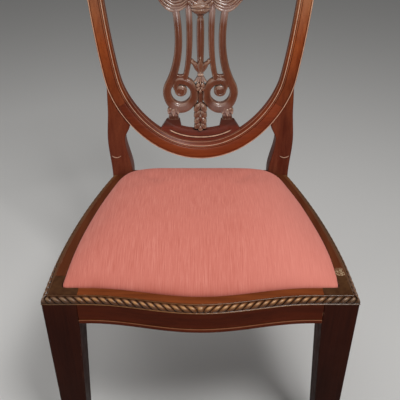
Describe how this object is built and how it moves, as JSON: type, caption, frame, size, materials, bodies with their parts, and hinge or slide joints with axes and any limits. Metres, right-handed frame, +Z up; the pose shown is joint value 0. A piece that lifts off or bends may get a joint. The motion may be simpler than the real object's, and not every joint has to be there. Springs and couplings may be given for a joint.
{
  "type": "shield back chair",
  "caption": "Mahogany side chair with a moulded shield back, pierced lyre splat, serpentine rope-edged seat frame, tapered legs and a lift-out upholstered seat.",
  "frame": {"origin": "on the floor under the middle of the chair's outer box", "axes": "+Z up, the chair faces -Y, +X to the right as seen from the front"},
  "size_m": [0.5568, 0.5532, 0.968],
  "materials": {
    "mahogany": "polished red-brown mahogany",
    "dark_mahogany": "polished dark mahogany",
    "splat_mahogany": "carved mahogany, softly rubbed",
    "rope_mahogany": "carved mahogany, rubbed pale on the high points",
    "beech": "plain unfinished beech",
    "screw_steel": "plain steel",
    "jute": "woven jute",
    "stuffing": "wadding",
    "salmon_fabric": "salmon pink cloth with fine slubbed stripes",
    "dust_cloth": "black cambric"
  },
  "bodies": {
    "chair_frame": {"front_leg_left": "dark_mahogany", "front_leg_right": "dark_mahogany", "rear_post_left": "mahogany", "rear_post_right": "mahogany", "front_rail": "dark_mahogany", "side_rail_left": "dark_mahogany", "side_rail_right": "dark_mahogany", "rear_rail": "dark_mahogany", "crest_rail": "mahogany", "shield_lower_rail": "mahogany", "lyre_splat": "splat_mahogany", "splat_base": "splat_mahogany", "rope_moulding_front": "rope_mahogany", "rope_moulding_left": "rope_mahogany", "rope_moulding_right": "rope_mahogany", "corner_block_front_left": "beech", "corner_block_front_right": "beech", "corner_block_rear_left": "beech", "corner_block_rear_right": "beech", "block_screw_front_rail_left": "screw_steel", "block_screw_front_rail_right": "screw_steel", "block_screw_rear_rail_left": "screw_steel", "block_screw_rear_rail_right": "screw_steel", "block_screw_side_rail_front_left": "screw_steel", "block_screw_side_rail_front_right": "screw_steel", "block_screw_side_rail_rear_left": "screw_steel", "block_screw_side_rail_rear_right": "screw_steel"},
    "drop_in_seat": {"seat_frame_front": "beech", "seat_frame_rear": "beech", "seat_frame_left": "beech", "seat_frame_right": "beech", "webbing_lengthwise_1": "jute", "webbing_lengthwise_2": "jute", "webbing_lengthwise_3": "jute", "webbing_crosswise_1": "jute", "webbing_crosswise_2": "jute", "webbing_crosswise_3": "jute", "hessian": "jute", "seat_padding": "stuffing", "seat_cover": "salmon_fabric", "dust_cover": "dust_cloth"}
  },
  "joints": [
    {"name": "seat_lift", "type": "slide", "parent": "chair_frame", "child": "drop_in_seat", "axis": [0, 0, 1], "range_m": [0, 0.12]}
  ]
}
